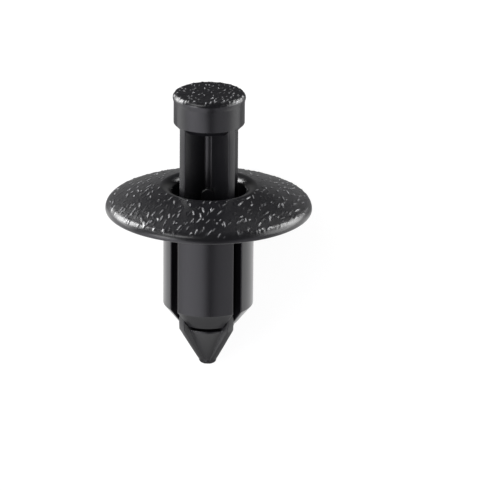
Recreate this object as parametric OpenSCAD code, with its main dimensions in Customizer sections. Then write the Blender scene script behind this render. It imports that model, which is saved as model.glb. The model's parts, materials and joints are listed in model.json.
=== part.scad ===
// Push rivet for trim panels: a grommet with four split legs, and a finned pin that slides in it.
// Each piece is drawn upright, with z = 0 on the flange's flat underside and the head end up.
// Both are then laid down together, as the rivet rests on a table on its rim and one leg.

/* [Flange] */
// Outer diameter of the flange
flange_d = 15.05; // [13:0.05:18]
// Height of the flange, from its flat underside to the lip of the hole
flange_h = 1.85; // [1.6:0.05:2.4]
// Height of the dome where it meets the rounded rim
rim_h = 0.64; // [0.5:0.02:0.9]
// Radius of the rim's upper edge
rim_round = 0.3; // [0.15:0.05:0.4]
// Radius of the rim's lower edge
rim_under_round = 0.1; // [0.05:0.01:0.12]
// Radius of the smooth lip that rolls into the hole
lip_round = 0.9; // [0.85:0.05:1.3]
// Width of the lip, from its crest to the wall of the hole
lip_w = 0.77; // [0.4:0.01:0.8]

/* [Legs] */
// Diameter of the panel hole's cylinder that the legs fill
leg_d = 6.6; // [6.4:0.1:8]
// Length of the legs below the flange
leg_len = 8.55; // [8:0.05:12]
// Length of the tapered leg ends
leg_taper_h = 1.38; // [1:0.02:1.6]
// Diameter across the tapered leg ends
leg_end_d = 4.38; // [4.1:0.02:5]
// Width of the slots between the legs
slot_w = 0.72; // [0.5:0.02:0.8]
// Diameter of the bore between the legs
bore_d = 3.8; // [3.5:0.1:4]
// Diameter between the cam ridges inside the leg ends
ridge_d = 2.2; // [2:0.05:2.6]
// Height of the cam ridges, without their ramps
ridge_h = 0.9; // [0.4:0.05:1]
// Height of the ramp from the bore to the cam ridges
ridge_ramp_h = 0.8; // [0.4:0.05:1.2]
// Width of the chamfer that opens the bore at the leg ends
mouth_chamfer = 0.2; // [0.1:0.05:0.3]

/* [Pin head] */
// Diameter of the head at its widest
head_d = 5.3; // [5:0.05:5.6]
// Height of the head
head_h = 2.64; // [2.2:0.02:3]
// Radius of the head's upper edge
head_round = 0.42; // [0.2:0.02:0.6]
// Depth of the step from the head's widest edge to its skirt
skirt_step = 0.07; // [0.05:0.01:0.15]
// Height of the widened band below the head's rounded edge
band_h = 0.3; // [0.1:0.05:0.5]
// Width and height of the chamfer under the head
head_chamfer = 0.35; // [0.2:0.01:0.45]

/* [Pin shank] */
// How far the pin is pulled out
travel = 7.15; // [5.5:0.05:7.3]
// Diameter across the fins
fin_d = 5.14; // [4.6:0.02:5.2]
// Diameter of the core between the fins
core_d = 1.35; // [1.2:0.05:1.6]
// Width of the cam pad in each flute
cam_w = 1.1; // [1.05:0.05:1.3]
// Length of the cam pads
cam_len = 3.9; // [3:0.1:4.4]
// Height of the cam pads' upper end above the flange's underside, with the pin pulled out
cam_top = 1.9; // [1:0.1:3]
// Height of the ramps at the ends of the cam pads
cam_ramp_h = 0.35; // [0.2:0.05:0.6]

/* [Pin nose] */
// Length of the nose below its shoulder
nose_len = 3.12; // [2.6:0.02:4]
// Diameter of the shoulder that stops the pin under the legs
shoulder_d = 3.85; // [3.5:0.05:4]
// Radius of the shoulder's edge
shoulder_round = 0.08; // [0.05:0.01:0.15]
// Diameter of the nose's conical core at its end
nose_core_d = 1.3; // [1:0.05:1.35]
// Diameter across the fins at the nose's blunt end
nose_end_d = 1.36; // [1.36:0.02:1.8]
// Radius of the nose's blunt end
nose_round = 0.34; // [0.2:0.02:0.5]
// Height above the shoulder where the fins start to taper
fin_lead = 0.1; // [0:0.05:0.25]

/* [Clearances] */
// Gap between the head and the wall of the hole, all round
hole_gap = 0.08; // [0.05:0.01:0.2]
// Gap under the head when it is pushed home
seat_gap = 0.05; // [0.04:0.01:0.1]
// Gap on each side of a fin in its slot
slot_gap = 0.06; // [0.04:0.01:0.1]
// Gap between the cam pads and the cam ridges
cam_gap = 0.08; // [0.05:0.01:0.2]
// Gap between the nose's shoulder and the leg ends when the pin is pulled out
stop_gap = 0.3; // [0.1:0.05:0.4]

/* [Hidden] */
$fn = 96;
arc_steps = 8;
past = 1;
black = [0.09, 0.09, 0.1];
leg_angles = [0, 90, 180, 270];
slot_angles = [45, 135];

flange_r = flange_d / 2;
head_r = head_d / 2;
hole_r = head_r + hole_gap;
lip_r = hole_r + lip_w;
leg_r = leg_d / 2;
bore_r = bore_d / 2;
ridge_r = ridge_d / 2;
fin_r = fin_d / 2;
core_r = core_d / 2;
cam_r = ridge_r - cam_gap;
cam_bottom = cam_top - cam_len;
cam_sink = 0.05;
skirt_r = head_r - skirt_step;
fin_t = slot_w - 2 * slot_gap;
nose_end_r = nose_end_d / 2;
nose_core_r = nose_core_d / 2;

// The head sits flush with the lip, so the recess is as deep as the head and its gap
floor_z = flange_h - head_h - seat_gap;
seat_z = floor_z + head_chamfer + seat_gap;
seat_r = hole_r - head_chamfer;
leg_end_z = -leg_len;
taper_z = leg_end_z + leg_taper_h;
ridge_z = leg_end_z + mouth_chamfer;
ridge_top_z = ridge_z + ridge_h;
ramp_top_z = ridge_top_z + ridge_ramp_h;

head_z = floor_z + seat_gap + travel;
top_z = head_z + head_h;
shoulder_z = leg_end_z - stop_gap;
nose_z = shoulder_z - nose_len;

// Rounded rim and domed top: the dome is a circle about a centre on the axis, through the lip
// and the rim's edge
rim_roll = 66;
rim_c_r = flange_r - rim_round;
rim_c_z = rim_h - rim_round * sin(rim_roll);
edge_r = rim_c_r + rim_round * cos(rim_roll);
dome_c_z = (lip_r ^ 2 + flange_h ^ 2 - edge_r ^ 2 - rim_h ^ 2) / (2 * (flange_h - rim_h));
dome_r = norm([lip_r, flange_h - dome_c_z]);
dome_a0 = asin(edge_r / dome_r);
dome_a1 = asin(lip_r / dome_r);

// Angle of the lip's roll, where it meets the wall of the hole
lip_roll = asin(lip_w / lip_round);

// Points of a circular arc in the (radius, height) plane
function arc(c, r, a0, a1) = [
    for (i = [0 : arc_steps])
        let (a = a0 + (a1 - a0) * i / arc_steps)
        c + r * [cos(a), sin(a)]
];

grommet_outline = concat(
    [[0, leg_end_z], [leg_end_d / 2, leg_end_z], [leg_r, taper_z], [leg_r, 0]],
    arc([flange_r - rim_under_round, rim_under_round], rim_under_round, -90, 0),
    arc([rim_c_r, rim_c_z], rim_round, 0, rim_roll),
    arc([0, dome_c_z], dome_r, 90 - dome_a0, 90 - dome_a1),
    [[0, flange_h]]
);

grommet_cavity = concat(
    [[0, flange_h + past], [lip_r, flange_h + past]],
    arc([lip_r, flange_h - lip_round], lip_round, 90, 90 + lip_roll),
    [
        [hole_r, seat_z], [seat_r, floor_z], [bore_r, floor_z],
        [bore_r, ramp_top_z], [ridge_r, ridge_top_z], [ridge_r, ridge_z],
        [ridge_r + mouth_chamfer, leg_end_z], [ridge_r + mouth_chamfer, leg_end_z - past],
        [0, leg_end_z - past]
    ]
);

head_outline = concat(
    [[0, head_z], [skirt_r - head_chamfer, head_z], [skirt_r, head_z + head_chamfer]],
    [[skirt_r, top_z - head_round - band_h]],
    arc([head_r - head_round, top_z - head_round], head_round, 0, 90),
    [[0, top_z]]
);

core_outline = concat(
    [[0, head_z + head_chamfer], [core_r, head_z + head_chamfer], [core_r, shoulder_z]],
    arc([shoulder_d / 2 - shoulder_round, shoulder_z - shoulder_round], shoulder_round, 90, 0),
    arc([nose_core_r - nose_round, nose_z + nose_round], nose_round, 0, -90),
    [[0, nose_z]]
);

fin_outline = concat(
    [[0, head_z + head_chamfer], [fin_r, head_z + head_chamfer], [fin_r, shoulder_z + fin_lead]],
    arc([nose_end_r - nose_round, nose_z + nose_round], nose_round, 0, -90),
    [[0, nose_z]]
);

cam_outline = [
    [0, cam_top + past], [core_r - cam_sink, cam_top + past], [core_r - cam_sink, cam_top],
    [cam_r, cam_top - cam_ramp_h], [cam_r, cam_bottom + cam_ramp_h],
    [core_r - cam_sink, cam_bottom], [core_r - cam_sink, cam_bottom - past], [0, cam_bottom - past]
];

// The rest pose: the floor touches the rim's lower edge, and the shoulder of one leg or the end
// of the nose, whichever it meets first
contact_c = [flange_r - rim_under_round, rim_under_round];
nose_contact_r = (nose_end_r + fin_t / 2) * cos(45);
function contact_tilt(p) =
    let (d = contact_c - p)
    atan2(d[0], d[1]) + asin(rim_under_round / norm(d));
tilt = min(
    contact_tilt([leg_r, taper_z]),
    contact_tilt([nose_contact_r, nose_z + nose_round])
);
axis_h = contact_c[0] * cos(tilt) + rim_under_round - contact_c[1] * sin(tilt);
head_reach = (top_z - head_round) * cos(tilt) + (head_r - head_round) * sin(tilt) + head_round;
nose_reach = -(nose_z + nose_round) * cos(tilt) + (nose_end_r - nose_round) * sin(tilt) + nose_round;
mid_x = (nose_reach - head_reach) / 2;

module laid_down() {
    translate([mid_x, 0, axis_h]) rotate([0, 90 - tilt, 0]) children();
}

module turned(outline) {
    rotate_extrude() polygon(outline);
}

// Four slots between the legs, or four fins with t as their thickness
module cross(t, z0, z1, r) {
    for (a = slot_angles)
        rotate([0, 0, a]) translate([-r, -t / 2, z0]) cube([2 * r, t, z1 - z0]);
}

// A pad with round ends, standing on the core and facing along +X
module cam_pad() {
    straight = cam_len - cam_w;
    rotate([90, 0, 90]) linear_extrude(cam_r) translate([0, cam_top - cam_len / 2]) union() {
        square([cam_w, straight], center = true);
        translate([0, straight / 2]) circle(d = cam_w);
        translate([0, -straight / 2]) circle(d = cam_w);
    }
}

module grommet() {
    color(black) laid_down() difference() {
        turned(grommet_outline);
        turned(grommet_cavity);
        cross(slot_w, leg_end_z - past, seat_z, leg_r + past);
    }
}

module pin() {
    color(black) laid_down() union() {
        turned(head_outline);
        turned(core_outline);
        intersection() {
            turned(fin_outline);
            cross(fin_t, nose_z - past, top_z - head_round, fin_r + past);
        }
        intersection() {
            turned(cam_outline);
            for (a = leg_angles) rotate([0, 0, a]) cam_pad();
        }
    }
}

grommet();
pin();
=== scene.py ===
import json
import math

import bmesh
import bpy
from mathutils import Matrix, Vector, noise


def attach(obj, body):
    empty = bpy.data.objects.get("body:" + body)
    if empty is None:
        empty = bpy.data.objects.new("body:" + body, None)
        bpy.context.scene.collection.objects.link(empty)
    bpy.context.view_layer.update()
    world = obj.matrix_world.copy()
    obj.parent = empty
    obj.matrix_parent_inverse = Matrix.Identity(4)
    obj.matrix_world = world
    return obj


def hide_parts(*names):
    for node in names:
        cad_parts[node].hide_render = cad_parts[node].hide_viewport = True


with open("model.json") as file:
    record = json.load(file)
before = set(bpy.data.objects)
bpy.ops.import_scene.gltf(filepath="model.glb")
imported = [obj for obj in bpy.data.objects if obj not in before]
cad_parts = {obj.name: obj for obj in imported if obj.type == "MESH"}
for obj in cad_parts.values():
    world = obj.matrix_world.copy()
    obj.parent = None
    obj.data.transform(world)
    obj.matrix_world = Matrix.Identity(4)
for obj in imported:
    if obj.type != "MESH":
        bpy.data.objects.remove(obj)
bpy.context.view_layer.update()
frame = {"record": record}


# The rivet's own axis
# The rivet lies on its flange's rim and one leg, so its axis leans up from the table. All pieces
# are drawn upright in millimetres, with z = 0 on the flange's flat underside and the pin's head
# up, and are then laid down by one matrix, which comes from the frame's own mounts.
MM = 0.001
mounts = {m["name"]: m for m in frame["record"]["mounts"]}
nose_way = Vector(mounts["leg_shank"]["axis"]).normalized()
head_way = -nose_way
leg_cylinder_h = mounts["leg_shank"]["dims"]["length_mm"]
flange_base = Vector(mounts["leg_shank"]["pos_m"]) + head_way * (leg_cylinder_h / 2 * MM)
side_way = Vector((0, 1, 0))
under_way = side_way.cross(head_way)
up_way = -under_way
laid_down = Matrix((under_way, side_way, head_way)).transposed().to_4x4()
laid_down.translation = flange_base


# Grommet
# One black nylon moulding: a domed flange with a leather-like grain, a polished lip that rolls
# into the hole, and four split legs with a cam ridge inside each end.
flange_r = 7.525
flange_h = 1.85
rim_h = 0.64
rim_round = 0.3
rim_roll = math.radians(66)
rim_soft_round = 0.65
rim_under_round = 0.1
hole_r = 2.73
lip_r = 3.5
lip_round = 0.9
floor_z = -0.84
seat_h = 0.4
seat_r = 2.38
bore_r = 1.9
ridge_r = 1.1
ridge_z = -8.35
ridge_top_z = -7.45
ridge_ramp_z = -6.65
mouth_chamfer = 0.2
leg_r = mounts["leg_shank"]["dims"]["r_mm"]
leg_end_z = -8.55
leg_end_r = 2.19
leg_taper_z = -leg_cylinder_h
slot_w = 0.72
slot_edge_round = 0.07
slot_flare = (1, 0.3)
moulded_edge = 0.06
leg_edge = 0.12
under_start = 0.05
hole_wall_z = 1.2

# How finely the turned shapes are cut
turn_steps = 240
dome_turn_steps = 720
dome_rings = 80
rim_rings = 14
lip_rings = 12
crease_angle = math.radians(38)

# Where the grain lies, the size of its wrinkles, and their lean from the picture's upright
grain_start_r = 3.45
grain_end_r = 7.46
grain_low_z = 0.15
grain_fade = 0.25
flange_grain = {"cell": (1.05, 0.46), "deep": 0.038, "long": 0.34, "wide": 0.055, "edge": 0.12}
wrinkle_way = -0.15
wrinkle_spread = 0.9
wrinkle_shift = 20
wrinkle_length = (0.3, 0.9)
wrinkle_height = (0.25, 0.95)
swell_size = 2.1
swell_share = 0.25
wrinkle_sink = 0.2
# Painted glint: the part of each wrinkle above this share of its height is painted pale, as its
# highlight
crest_start = 0.55
wrinkle_seed = 7.3
upward = 0.1


def arc_points(centre, radius, start, end, steps):
    """Points of an arc in the (radius, height) plane; angles are in radians."""
    points = []
    for i in range(steps + 1):
        a = start + (end - start) * i / steps
        points.append((centre[0] + radius * math.cos(a), centre[1] + radius * math.sin(a)))
    return points


def rounded_corner(before, corner, after, radius, steps=4):
    """The corner of an outline, rounded by an arc that touches both of its sides."""
    p, a, b = Vector(corner), Vector(before), Vector(after)
    to_a, to_b = (a - p), (b - p)
    half = to_a.angle(to_b) / 2
    cut = min(radius / math.tan(half), to_a.length / 2, to_b.length / 2)
    radius = cut * math.tan(half)
    to_a.normalize()
    to_b.normalize()
    centre = p + (to_a + to_b).normalized() * (radius / math.sin(half))
    start = p + to_a * cut - centre
    end = p + to_b * cut - centre
    turn = math.atan2(start.cross(end), start.dot(end))
    points = []
    for i in range(steps + 1):
        a = turn * i / steps
        x = start.x * math.cos(a) - start.y * math.sin(a)
        y = start.x * math.sin(a) + start.y * math.cos(a)
        points.append((centre.x + x, centre.y + y))
    return points


def softened(corners, radius):
    """An open chain of corners whose inner ones are rounded, as a moulded part's edges are."""
    points = [corners[0]]
    for before, corner, after in zip(corners, corners[1:], corners[2:]):
        points += rounded_corner(before, corner, after, radius)
    return points + [corners[-1]]


def ring_of(mesh, radius, z, steps):
    """Vertices of one ring, or the single vertex on the axis."""
    if radius < 1e-6:
        return [mesh.verts.new((0, 0, z))]
    turns = [2 * math.pi * i / steps for i in range(steps)]
    return [mesh.verts.new((radius * math.cos(a), radius * math.sin(a), z)) for a in turns]


def span(ring, i, pieces):
    """The vertices of a ring along the i-th of some equal pieces of the turn."""
    each = len(ring) // pieces
    if each == 0:
        return [ring[0]]
    return [ring[(i * each + k) % len(ring)] for k in range(each + 1)]


def turned(outline, steps, loop, fine=(0, 0), fine_steps=0):
    """A bmesh of revolution, whose rings between two places in the outline may be finer.

    A loop never meets the axis; an open outline starts and ends on it.
    """
    mesh = bmesh.new()
    rings = []
    for n, (r, z) in enumerate(outline):
        rings.append(ring_of(mesh, r, z, fine_steps if fine[0] <= n < fine[1] else steps))
    pairs = list(zip(rings, rings[1:]))
    if loop:
        pairs.append((rings[-1], rings[0]))
    for low, high in pairs:
        pieces = min(len(ring) for ring in (low, high) if len(ring) > 1)
        for i in range(pieces):
            mesh.faces.new(span(low, i, pieces) + span(high, i, pieces)[::-1])
    bmesh.ops.recalc_face_normals(mesh, faces=mesh.faces)
    return mesh


def lofted(sections):
    """A closed bmesh through outlines of equal length, each given as (height, [(x, y), ...])."""
    mesh = bmesh.new()
    rings = [[mesh.verts.new((x, y, z)) for x, y in outline] for z, outline in sections]
    count = len(rings[0])
    for low, high in zip(rings, rings[1:]):
        for i in range(count):
            j = (i + 1) % count
            mesh.faces.new((low[i], low[j], high[j], high[i]))
    mesh.faces.new(rings[0])
    mesh.faces.new(rings[-1])
    bmesh.ops.recalc_face_normals(mesh, faces=mesh.faces)
    return mesh


def as_object(mesh, name):
    """A new object that holds a bmesh, still upright and in millimetres."""
    data = bpy.data.meshes.new(name)
    mesh.to_mesh(data)
    mesh.free()
    piece = bpy.data.objects.new(name, data)
    bpy.context.scene.collection.objects.link(piece)
    return piece


def combine(piece, tool, operation):
    """Applies one exact boolean to a piece and deletes the tool."""
    step = piece.modifiers.new("combine", "BOOLEAN")
    step.operation = operation
    step.solver = "EXACT"
    step.object = tool
    view = bpy.context.evaluated_depsgraph_get()
    result = bpy.data.meshes.new_from_object(piece.evaluated_get(view))
    piece.modifiers.clear()
    old = piece.data
    piece.data = result
    bpy.data.meshes.remove(old)
    bpy.data.objects.remove(tool)


def slot_tool(turn):
    """A cutter for one straight pair of slots, flared outside to round the legs' long edges."""
    def section(leg_outer):
        half = slot_w / 2
        centre_y = half + slot_edge_round
        reach = leg_outer - slot_edge_round
        centre_x = math.sqrt(reach ** 2 - centre_y ** 2)
        end = math.atan2(centre_y, centre_x)
        flare = arc_points((centre_x, centre_y), slot_edge_round, -math.pi / 2, end, 4)
        flare.append((leg_outer + slot_flare[0], flare[-1][1] + slot_flare[1]))
        upper = [(-x, y) for x, y in reversed(flare)] + flare
        outline = upper + [(x, -y) for x, y in reversed(upper)]
        c, s = math.cos(turn), math.sin(turn)
        return [(x * c - y * s, x * s + y * c) for x, y in outline]
    levels = [
        (leg_end_z - 1, leg_end_r), (leg_end_z, leg_end_r),
        (leg_taper_z, leg_r), (floor_z + seat_h, leg_r),
    ]
    return as_object(lofted([(z, section(r)) for z, r in levels]), "slot_tool")


def leather_relief(p, grain):
    """Height of a leather grain, and the share of crest, which is painted pale as a glint: one
    short wrinkle to a cell, on swells.
    """
    cell = grain["cell"]
    place = Vector((p.x / cell[0] + wrinkle_shift, p.y / cell[1], 0))
    wrinkle = 0.0
    for seed in noise.voronoi(place)[1][:3]:
        away = ((place.x - seed.x) * cell[0], (place.y - seed.y) * cell[1])
        mix = noise.cell_vector(seed * wrinkle_seed)
        way = (mix.x - 0.5) * wrinkle_spread + wrinkle_way
        c, s = math.cos(way), math.sin(way)
        half_length = grain["long"] * (wrinkle_length[0] + wrinkle_length[1] * mix.y)
        along = (away[0] * c + away[1] * s) / half_length
        across = (away[1] * c - away[0] * s) / grain["wide"]
        height = wrinkle_height[0] + wrinkle_height[1] * mix.z
        bump = math.exp(-along ** 4 - across ** 2) * height
        wrinkle = max(wrinkle, bump)
    swell = noise.noise(p / (cell[1] * swell_size))
    # The crest share, which only paints the pale glint
    crest = min(1.0, max(0.0, (wrinkle - crest_start) / (1 - crest_start)))
    return grain["deep"] * (wrinkle - wrinkle_sink + swell_share * swell), crest


def emboss(piece, top_z, start_r, end_r, fade, grain):
    """Raises the grain on the upward faces of a piece, and keeps it as two attributes: the grain's
    share, and the crest share that is painted pale as a glint.
    """
    data = piece.data
    shares, crests, moved = [], [], []
    for v in data.vertices:
        p = v.co
        r = math.hypot(p.x, p.y)
        inner = min(1.0, max(0.0, (r - start_r) / fade)) if start_r else 1.0
        outer = min(1.0, max(0.0, (end_r - r) / grain["edge"]))
        share = inner * outer if p.z > top_z and v.normal.z > upward else 0.0
        height, crest = leather_relief(p, grain) if share else (0.0, 0.0)
        shares.append(share)
        crests.append(crest * share)
        moved.append(p + v.normal * (share * height))
    for v, p in zip(data.vertices, moved):
        v.co = p
    for name, values in (("grain", shares), ("crest", crests)):
        data.attributes.new(name, "FLOAT", "POINT").data.foreach_set("value", values)


def finish_mesh(piece):
    """Lays a piece down in the frame, smooth between its creases."""
    mesh = bmesh.new()
    mesh.from_mesh(piece.data)
    bmesh.ops.dissolve_degenerate(mesh, dist=1e-5, edges=mesh.edges)
    for face in mesh.faces:
        face.smooth = True
    for edge in mesh.edges:
        edge.smooth = len(edge.link_faces) == 2 and edge.calc_face_angle(0) < crease_angle
    bmesh.ops.transform(mesh, matrix=laid_down @ Matrix.Scale(MM, 4), verts=mesh.verts)
    mesh.to_mesh(piece.data)
    mesh.free()
    even = piece.modifiers.new("even shading", "WEIGHTED_NORMAL")
    even.keep_sharp = True
    even.weight = 50


def dome_points():
    """The flange's rounded edge and dome, from its underside to the lip's crest."""
    edge_r = flange_r - rim_round * (1 - math.cos(rim_roll))
    centre_z = (lip_r ** 2 + flange_h ** 2 - edge_r ** 2 - rim_h ** 2) / (2 * (flange_h - rim_h))
    radius = math.hypot(lip_r, flange_h - centre_z)
    roll_r = flange_r - rim_soft_round
    roll_z = centre_z + math.sqrt((radius - rim_soft_round) ** 2 - roll_r ** 2)
    low = math.atan2(roll_z - centre_z, roll_r)
    high = math.acos(lip_r / radius)
    under_c = (flange_r - rim_under_round, rim_under_round)
    return (
        arc_points(under_c, rim_under_round, -math.pi / 2, 0, 4)
        + arc_points((roll_r, roll_z), rim_soft_round, 0, low, rim_rings)[:-1]
        + arc_points((0, centre_z), radius, low, high, dome_rings)
    )


lip_roll = math.asin((lip_r - hole_r) / lip_round)
legs_outline = softened(
    [
        (ridge_r + mouth_chamfer, leg_end_z), (leg_end_r, leg_end_z), (leg_r, leg_taper_z),
        (leg_r, 0), (flange_r - rim_under_round - under_start, 0),
    ],
    leg_edge,
)
lip_outline = arc_points(
    (lip_r, flange_h - lip_round), lip_round, math.pi / 2, math.pi / 2 + lip_roll, lip_rings
)[1:]
bore_outline = softened(
    [
        (hole_r, hole_wall_z), (hole_r, floor_z + seat_h), (seat_r, floor_z), (bore_r, floor_z),
        (bore_r, ridge_ramp_z), (ridge_r, ridge_top_z), (ridge_r, ridge_z),
        (ridge_r + mouth_chamfer, leg_end_z),
    ],
    moulded_edge,
)[1:-1]
dome_outline = dome_points()
dome_start = len(legs_outline)
grommet = as_object(
    turned(
        legs_outline + dome_outline + lip_outline + bore_outline, turn_steps, loop=True,
        fine=(dome_start, dome_start + len(dome_outline)), fine_steps=dome_turn_steps,
    ),
    "grommet_moulding",
)
for turn in (math.pi / 4, 3 * math.pi / 4):
    combine(grommet, slot_tool(turn), "DIFFERENCE")
emboss(grommet, grain_low_z, grain_start_r, grain_end_r, grain_fade, flange_grain)
finish_mesh(grommet)
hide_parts("grommet")
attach(grommet, "grommet")


# Both nylon mouldings: roughness where smooth and where grained, tints, the fine texture, and a
# painted glint: a pale colour on the grain's crests
cloud_size = 420
polish = (0.24, 0.36)
grain_roughness = 0.29
black_tints = ((0.006, 0.006, 0.0075, 1), (0.010, 0.0098, 0.0115, 1))
# Painted glint: the pale colour painted on the grain's crests stands in for their highlights
crest_tint = (0.3, 0.3, 0.31, 1)
fine_grain_size = 9000
fine_grain_depth = 0.02
fine_grain_strength = 0.4


def fine_grain_group():
    """A node group for the fine texture between the wrinkles of the grain, and for the painted
    glint on its crests: a pale colour that stands in for their highlights.
    """
    group = bpy.data.node_groups.new("fine_grain", "ShaderNodeTree")
    face = group.interface
    face.new_socket("Size", in_out="INPUT", socket_type="NodeSocketFloat")
    face.new_socket("Mask", in_out="INPUT", socket_type="NodeSocketFloat")
    face.new_socket("Crest_glint", in_out="INPUT", socket_type="NodeSocketFloat")
    face.new_socket("Height", in_out="OUTPUT", socket_type="NodeSocketFloat")
    face.new_socket("Roughness", in_out="OUTPUT", socket_type="NodeSocketFloat")
    face.new_socket("Color", in_out="OUTPUT", socket_type="NodeSocketColor")
    nodes, links = group.nodes, group.links
    start, end = nodes.new("NodeGroupInput"), nodes.new("NodeGroupOutput")
    place = nodes.new("ShaderNodeTexCoord")
    crumbs = nodes.new("ShaderNodeTexNoise")
    crumbs.inputs["Detail"].default_value = 4
    links.new(place.outputs["Object"], crumbs.inputs["Vector"])
    links.new(start.outputs["Size"], crumbs.inputs["Scale"])
    cloud = nodes.new("ShaderNodeTexNoise")
    cloud.inputs["Scale"].default_value = cloud_size
    cloud.inputs["Detail"].default_value = 3
    links.new(place.outputs["Object"], cloud.inputs["Vector"])
    height = nodes.new("ShaderNodeMath")
    height.operation = "MULTIPLY"
    links.new(crumbs.outputs["Fac"], height.inputs[0])
    links.new(start.outputs["Mask"], height.inputs[1])
    links.new(height.outputs[0], end.inputs["Height"])
    smooth = nodes.new("ShaderNodeMapRange")
    smooth.inputs["To Min"].default_value = polish[0]
    smooth.inputs["To Max"].default_value = polish[1]
    links.new(cloud.outputs["Fac"], smooth.inputs["Value"])
    rough = nodes.new("ShaderNodeMix")
    rough.data_type = "FLOAT"
    links.new(start.outputs["Mask"], rough.inputs[0])
    links.new(smooth.outputs[0], rough.inputs[2])
    rough.inputs[3].default_value = grain_roughness
    links.new(rough.outputs[0], end.inputs["Roughness"])
    tint = nodes.new("ShaderNodeMix")
    tint.data_type = "RGBA"
    tint.inputs[6].default_value = black_tints[0]
    tint.inputs[7].default_value = black_tints[1]
    links.new(cloud.outputs["Fac"], tint.inputs[0])
    # Painted glint: the crests are painted pale, as their highlights
    glint_paint = nodes.new("ShaderNodeMix")
    glint_paint.data_type = "RGBA"
    glint_paint.inputs[7].default_value = crest_tint
    links.new(start.outputs["Crest_glint"], glint_paint.inputs[0])
    links.new(tint.outputs[2], glint_paint.inputs[6])
    links.new(glint_paint.outputs[2], end.inputs["Color"])
    return group


fine_grain = fine_grain_group()


def nylon(name):
    """Black moulded nylon: near black, a little cool, smooth where the grain mask is zero, with a
    painted glint of pale colour on the grain's crests.
    """
    material = bpy.data.materials.new(name)
    material.use_nodes = True
    nodes, links = material.node_tree.nodes, material.node_tree.links
    surface = nodes["Principled BSDF"]
    surface.inputs["IOR"].default_value = 1.5
    mask = nodes.new("ShaderNodeAttribute")
    mask.attribute_name = "grain"
    grain = nodes.new("ShaderNodeGroup")
    grain.node_tree = fine_grain
    grain.inputs["Size"].default_value = fine_grain_size
    links.new(mask.outputs["Fac"], grain.inputs["Mask"])
    # The crest share, which paints the pale glint
    crest = nodes.new("ShaderNodeAttribute")
    crest.attribute_name = "crest"
    links.new(crest.outputs["Fac"], grain.inputs["Crest_glint"])
    bump = nodes.new("ShaderNodeBump")
    bump.inputs["Strength"].default_value = fine_grain_strength
    bump.inputs["Distance"].default_value = fine_grain_depth * MM
    links.new(grain.outputs["Height"], bump.inputs["Height"])
    links.new(bump.outputs["Normal"], surface.inputs["Normal"])
    links.new(grain.outputs["Roughness"], surface.inputs["Roughness"])
    links.new(grain.outputs["Color"], surface.inputs["Base Color"])
    return material


grommet.data.materials.clear()
grommet.data.materials.append(nylon("grommet_nylon"))


# Pin
# The second nylon moulding. Four fins round a narrow core slide in the slots, a cam pad in each
# flute spreads the legs, and the nose tapers from a shoulder that stops under the leg ends.
pin_top_z = 9.0
head_z = 6.36
head_r = 2.65
head_round = 0.42
skirt_r = 2.58
head_band_z = 8.28
head_chamfer = 0.35
fin_r = 2.57
fin_half = 0.3
fin_edge_round = 0.05
flute_round = 0.12
core_r = 0.675
cam_face = 0.94
cam_w = 1.1
cam_top_z = 1.9
cam_len = 3.9
cam_round = 0.14
cam_root = 0.5
shoulder_z = -8.85
shoulder_r = 1.925
shoulder_round = 0.08
fin_taper_z = -8.75
nose_end_z = -11.97
nose_end_r = 0.68
nose_core_r = 0.65
nose_round = 0.34

# The last two sections over the shoulder: their heights over it, and the core's step outward
shank_lead = 0.06
core_lead = (0.002, 0.05)

# How finely the pin's sections are cut
shank_steps = 30
shoulder_steps = 5
nose_steps = 16
nose_round_steps = 7
cam_turn_steps = 24
cam_round_steps = 6
head_turn_steps = 288
head_rings = 56

# The head's grain, finer than the flange's
head_grain_low = 0.38
head_grain_fade = 0.12
head_grain = {"cell": (0.7, 0.32), "deep": 0.045, "long": 0.2, "wide": 0.065, "edge": 0.08}


def fin_section(tip, core, scale=1.0):
    """The shank's outline: four fins at 45 degrees to the legs, round a core of its own radius."""
    outline = []
    proud = tip - core
    root_round = min(flute_round, proud * 0.45)
    edge_round = min(fin_edge_round, proud * 0.4)
    root_y = fin_half + root_round
    root_x = math.sqrt((core + root_round) ** 2 - root_y ** 2)
    edge_y = fin_half - edge_round
    edge_x = math.sqrt((tip - edge_round) ** 2 - edge_y ** 2)
    root_a = math.atan2(root_y, root_x)
    edge_a = math.atan2(edge_y, edge_x)
    half = [(tip * math.cos(edge_a * k / 3), tip * math.sin(edge_a * k / 3)) for k in range(3)]
    half += arc_points((edge_x, edge_y), edge_round, edge_a, math.pi / 2, 4)
    half += [(root_x, fin_half)]
    half += arc_points((root_x, root_y), root_round, -math.pi / 2, -math.pi + root_a, 5)[1:]
    for k in range(1, 6):
        a = root_a + (math.pi / 4 - root_a) * k / 6
        half.append((core * math.cos(a), core * math.sin(a)))
    half.append((core * math.cos(math.pi / 4), core * math.sin(math.pi / 4)))
    fin = [(x, -y) for x, y in reversed(half[1:-1])] + half
    for quarter in range(4):
        a = math.pi / 4 + quarter * math.pi / 2
        c, s = math.cos(a) * scale, math.sin(a) * scale
        outline += [(x * c - y * s, x * s + y * c) for x, y in fin]
    return outline


def nose_tip(z):
    """Radius across the fins on the tapered nose."""
    share = (fin_taper_z - z) / (fin_taper_z - nose_end_z - nose_round)
    return fin_r + (nose_end_r - fin_r) * min(1.0, max(0.0, share))


def nose_core(z):
    """Radius of the nose's conical core."""
    top = shoulder_z - shoulder_round
    share = (top - z) / (top - nose_end_z - nose_round)
    return shoulder_r + (nose_core_r - shoulder_r) * min(1.0, max(0.0, share))


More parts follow.
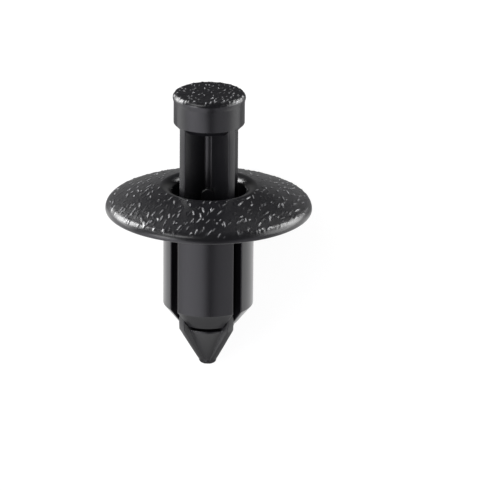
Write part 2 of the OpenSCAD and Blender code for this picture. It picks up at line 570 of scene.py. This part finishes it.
shank_sections = [(head_z + head_round, fin_section(fin_r, core_r))]
for k in range(1, shank_steps + 1):
    z = head_z + (shoulder_z + shank_lead - head_z) * k / shank_steps
    shank_sections.append((z, fin_section(min(fin_r, nose_tip(z)), core_r)))
shank_sections.append(
    (shoulder_z + core_lead[0], fin_section(nose_tip(shoulder_z), core_r + core_lead[1]))
)
for k in range(shoulder_steps + 1):
    a = math.pi / 2 * k / shoulder_steps
    z = shoulder_z - shoulder_round * (1 - math.cos(a))
    core = shoulder_r - shoulder_round * (1 - math.sin(a))
    shank_sections.append((z, fin_section(nose_tip(z), core)))
for k in range(1, nose_steps + 1):
    z = shoulder_z - shoulder_round
    z += (nose_end_z + nose_round - z) * k / nose_steps
    shank_sections.append((z, fin_section(nose_tip(z), nose_core(z))))
for k in range(1, nose_round_steps):
    a = math.pi / 2 * k / nose_round_steps
    scale = 1 - nose_round / nose_end_r * (1 - math.cos(a))
    z = nose_end_z + nose_round * (1 - math.sin(a))
    shank_sections.append((z, fin_section(nose_end_r, nose_core_r, scale)))
pin = as_object(lofted(list(reversed(shank_sections))), "pin_moulding")


def cam_pad(turn):
    """A pad with round, ramped ends that stands in one flute, on the core."""
    middle = cam_top_z - cam_len / 2
    straight = (cam_len - cam_w) / 2
    mesh_sections = []
    levels = [(cam_root, 0)]
    for k in range(cam_round_steps + 1):
        a = math.pi / 2 * k / cam_round_steps
        reach = cam_face - cam_round * (1 - math.sin(a))
        levels.append((reach, cam_round * (1 - math.cos(a))))
    for reach, inset in levels:
        outline = []
        for end in (0, 1):
            for i in range(cam_turn_steps + 1):
                a = math.pi * i / cam_turn_steps + math.pi * end
                r = cam_w / 2 - inset
                across = r * math.cos(a)
                along = middle + (straight if not end else -straight) + r * math.sin(a)
                outline.append((across, along))
        mesh_sections.append((reach, outline))
    pad = lofted(mesh_sections)
    stand = Matrix.Rotation(turn, 4, "Z") @ Matrix(
        ((0, 0, 1, 0), (1, 0, 0, 0), (0, 1, 0, 0), (0, 0, 0, 1))
    )
    bmesh.ops.transform(pad, matrix=stand, verts=pad.verts)
    return as_object(pad, "cam_pad")


head_corners = softened(
    [
        (skirt_r - head_chamfer - 0.4, head_z), (skirt_r - head_chamfer, head_z),
        (skirt_r, head_z + head_chamfer), (skirt_r, head_band_z), (head_r, pin_top_z - head_round),
    ],
    moulded_edge,
)
head_edge = arc_points(
    (head_r - head_round, pin_top_z - head_round), head_round, 0, math.pi / 2, 10
)[1:]
head_top = [
    ((head_r - head_round) * (1 - k / head_rings), pin_top_z) for k in range(1, head_rings + 1)
]
head_outline = [(0, head_z), (1.0, head_z)] + head_corners + head_edge + head_top
head = as_object(turned(head_outline, head_turn_steps, loop=False), "head")
combine(pin, head, "UNION")
for quarter in range(4):
    combine(pin, cam_pad(quarter * math.pi / 2), "UNION")
emboss(pin, pin_top_z - head_grain_low, 0, head_r, head_grain_fade, head_grain)
finish_mesh(pin)
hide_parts("pin")
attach(pin, "pin")
pin.data.materials.clear()
pin.data.materials.append(nylon("pin_nylon"))


# Table
# A plain white table top under the rivet. What the camera sees of it is white, with the rivet's
# faint shadow. What the rivet mirrors of it is painted light: the table glows as a bright board,
# with round cards of painted shade on it: grey and dark ones in front of the head, which keep
# the flange dark, and a grey one under the nose.
table_half = 0.6
table_glow = 0.92
shadow_color = (0.14, 0.14, 0.14, 1)
# Painted light: the glow of the table in everything but the camera's view
painted_board_glow = 1.55

# Each painted shade card's middle and radius in metres, and its glow
shade_cards = (
    ((0.030, 0, 0), 0.030, 0.3),
    ((0.035, 0, 0), 0.0240, 0.06),
    ((0.130, 0, 0), 0.080, 0.15),
    ((-0.0125, 0, 0), 0.0055, 0.4),
)
shade_card_fade = 0.0015


def table_material():
    """White board for the camera, and for mirrored light a glowing board of painted light with
    round cards of painted shade.
    """
    material = bpy.data.materials.new("table_white_and_painted_glow")
    material.use_nodes = True
    nodes, links = material.node_tree.nodes, material.node_tree.links
    nodes.remove(nodes["Principled BSDF"])
    place = nodes.new("ShaderNodeTexCoord")
    light = nodes.new("ShaderNodeValue")
    light.outputs[0].default_value = painted_board_glow
    level = light.outputs[0]
    # Each card paints shade into the table's glow
    for middle, radius, shade_card_light in shade_cards:
        reach = nodes.new("ShaderNodeVectorMath")
        reach.operation = "DISTANCE"
        reach.inputs[1].default_value = middle
        links.new(place.outputs["Object"], reach.inputs[0])
        shade_card = nodes.new("ShaderNodeMapRange")
        shade_card.interpolation_type = "SMOOTHSTEP"
        shade_card.inputs["From Min"].default_value = radius - shade_card_fade
        shade_card.inputs["From Max"].default_value = radius + shade_card_fade
        shade_card.inputs["To Min"].default_value = shade_card_light
        links.new(reach.outputs["Value"], shade_card.inputs["Value"])
        links.new(level, shade_card.inputs["To Max"])
        level = shade_card.outputs[0]
    # Painted light: the table glows with this map for every ray but the camera's
    mirrored = nodes.new("ShaderNodeEmission")
    links.new(level, mirrored.inputs["Strength"])
    glow = nodes.new("ShaderNodeEmission")
    glow.inputs["Strength"].default_value = table_glow
    shade = nodes.new("ShaderNodeBsdfDiffuse")
    shade.inputs["Color"].default_value = shadow_color
    white = nodes.new("ShaderNodeAddShader")
    links.new(glow.outputs[0], white.inputs[0])
    links.new(shade.outputs[0], white.inputs[1])
    seen = nodes.new("ShaderNodeLightPath")
    choice = nodes.new("ShaderNodeMixShader")
    links.new(seen.outputs["Is Camera Ray"], choice.inputs[0])
    links.new(mirrored.outputs[0], choice.inputs[1])
    links.new(white.outputs[0], choice.inputs[2])
    links.new(choice.outputs[0], nodes["Material Output"].inputs["Surface"])
    return material


table_mesh = bpy.data.meshes.new("table")
table_mesh.from_pydata(
    [(-table_half, -table_half, 0), (table_half, -table_half, 0),
     (table_half, table_half, 0), (-table_half, table_half, 0)],
    [], [(0, 1, 2, 3)],
)
table = bpy.data.objects.new("table", table_mesh)
bpy.context.scene.collection.objects.link(table)
table_mesh.materials.append(table_material())


# Camera
# It looks down on the lying rivet, 20 degrees above the flange's plane on the head's side, so
# that the rivet stands upright in the picture. A long lens keeps the view nearly parallel.
view_height = math.radians(20.33)
view_turn = math.radians(4.0)
view_roll = math.radians(0.5)
picture_px = 491
px_per_mm = 13.73
base_px = (208.65, 209.06)
camera_far = 0.35
sensor_mm = 36

level_way = up_way * math.cos(view_turn) - side_way * math.sin(view_turn)
to_camera = level_way * math.cos(view_height) + head_way * math.sin(view_height)
picture_up = (head_way - to_camera * head_way.dot(to_camera)).normalized()
picture_up = Matrix.Rotation(view_roll, 3, to_camera) @ picture_up
picture_right = picture_up.cross(to_camera)
middle = picture_px / 2
target = (
    flange_base
    + picture_right * ((middle - base_px[0]) / px_per_mm * MM)
    - picture_up * ((middle - base_px[1]) / px_per_mm * MM)
)
camera_data = bpy.data.cameras.new("camera")
camera_data.sensor_width = sensor_mm
camera_data.lens = sensor_mm * camera_far / (picture_px / px_per_mm * MM)
camera_data.clip_start = 0.01
camera_data.clip_end = 5
camera = bpy.data.objects.new("camera", camera_data)
bpy.context.scene.collection.objects.link(camera)
camera.matrix_world = Matrix((picture_right, picture_up, to_camera)).transposed().to_4x4()
camera.matrix_world.translation = target + to_camera * camera_far
bpy.context.scene.camera = camera


# Studio light
# Two soft windows stand to the left on the nose's side, with a dimmer room to the right and a lamp
# high above the head. Screens stand and boards lie on the table at both sides of the head, and
# light the rims of the flange and the head.
def panel(name, place, size, radiance, aim=(0, 0, 6), color=(1, 1, 1)):
    """An area lamp; its place and aim are in mm on the table: along +X, to the left, up."""
    spot, goal = Vector(place) * MM, Vector(aim) * MM
    data = bpy.data.lights.new(name, "AREA")
    data.shape = "RECTANGLE"
    data.color = color
    data.size, data.size_y = size[0] * MM, size[1] * MM
    data.energy = radiance * math.pi * data.size * data.size_y
    lamp = bpy.data.objects.new(name, data)
    lamp.location = spot
    lamp.rotation_euler = (spot - goal).to_track_quat("Z", "Y").to_euler()
    lamp.visible_camera = False
    bpy.context.scene.collection.objects.link(lamp)


panel("window_left", (-126, 113, 89), (265, 150), 1.85, color=(0.94, 0.92, 1))
panel("window_top", (-47, 122, 124), (70, 60), 5.5)
panel("room_right", (-115, -130, 80), (180, 130), 0.75, color=(0.94, 0.92, 1))
panel("lamp_above", (45, 65, 125), (36, 66), 6)
panel("side_left", (19, 77, 10), (45, 22), 3)
panel("side_right", (17, -78, 24), (50, 48), 4)
panel("screen_left", (36, 46, 10), (32, 24), 17)
panel("screen_right", (40, -42, 9), (34, 18), 9)
for side, name in ((1, "left"), (-1, "right")):
    near, far = (20, side * 26, 0.3), (35, side * 57, 0.3)
    panel("board_near_" + name, near, (20, 16), 4.5, aim=(near[0], near[1], 9))
    panel("board_far_" + name, far, (50, 46), 7, aim=(far[0], far[1], 9))

room_color = (0.9, 0.9, 0.92, 1)
room_light = 0.1
room = bpy.data.worlds.new("room")
bpy.context.scene.world = room
room.use_nodes = True
room.node_tree.nodes["Background"].inputs["Color"].default_value = room_color
room.node_tree.nodes["Background"].inputs["Strength"].default_value = room_light
bpy.context.scene.view_settings.view_transform = "Standard"
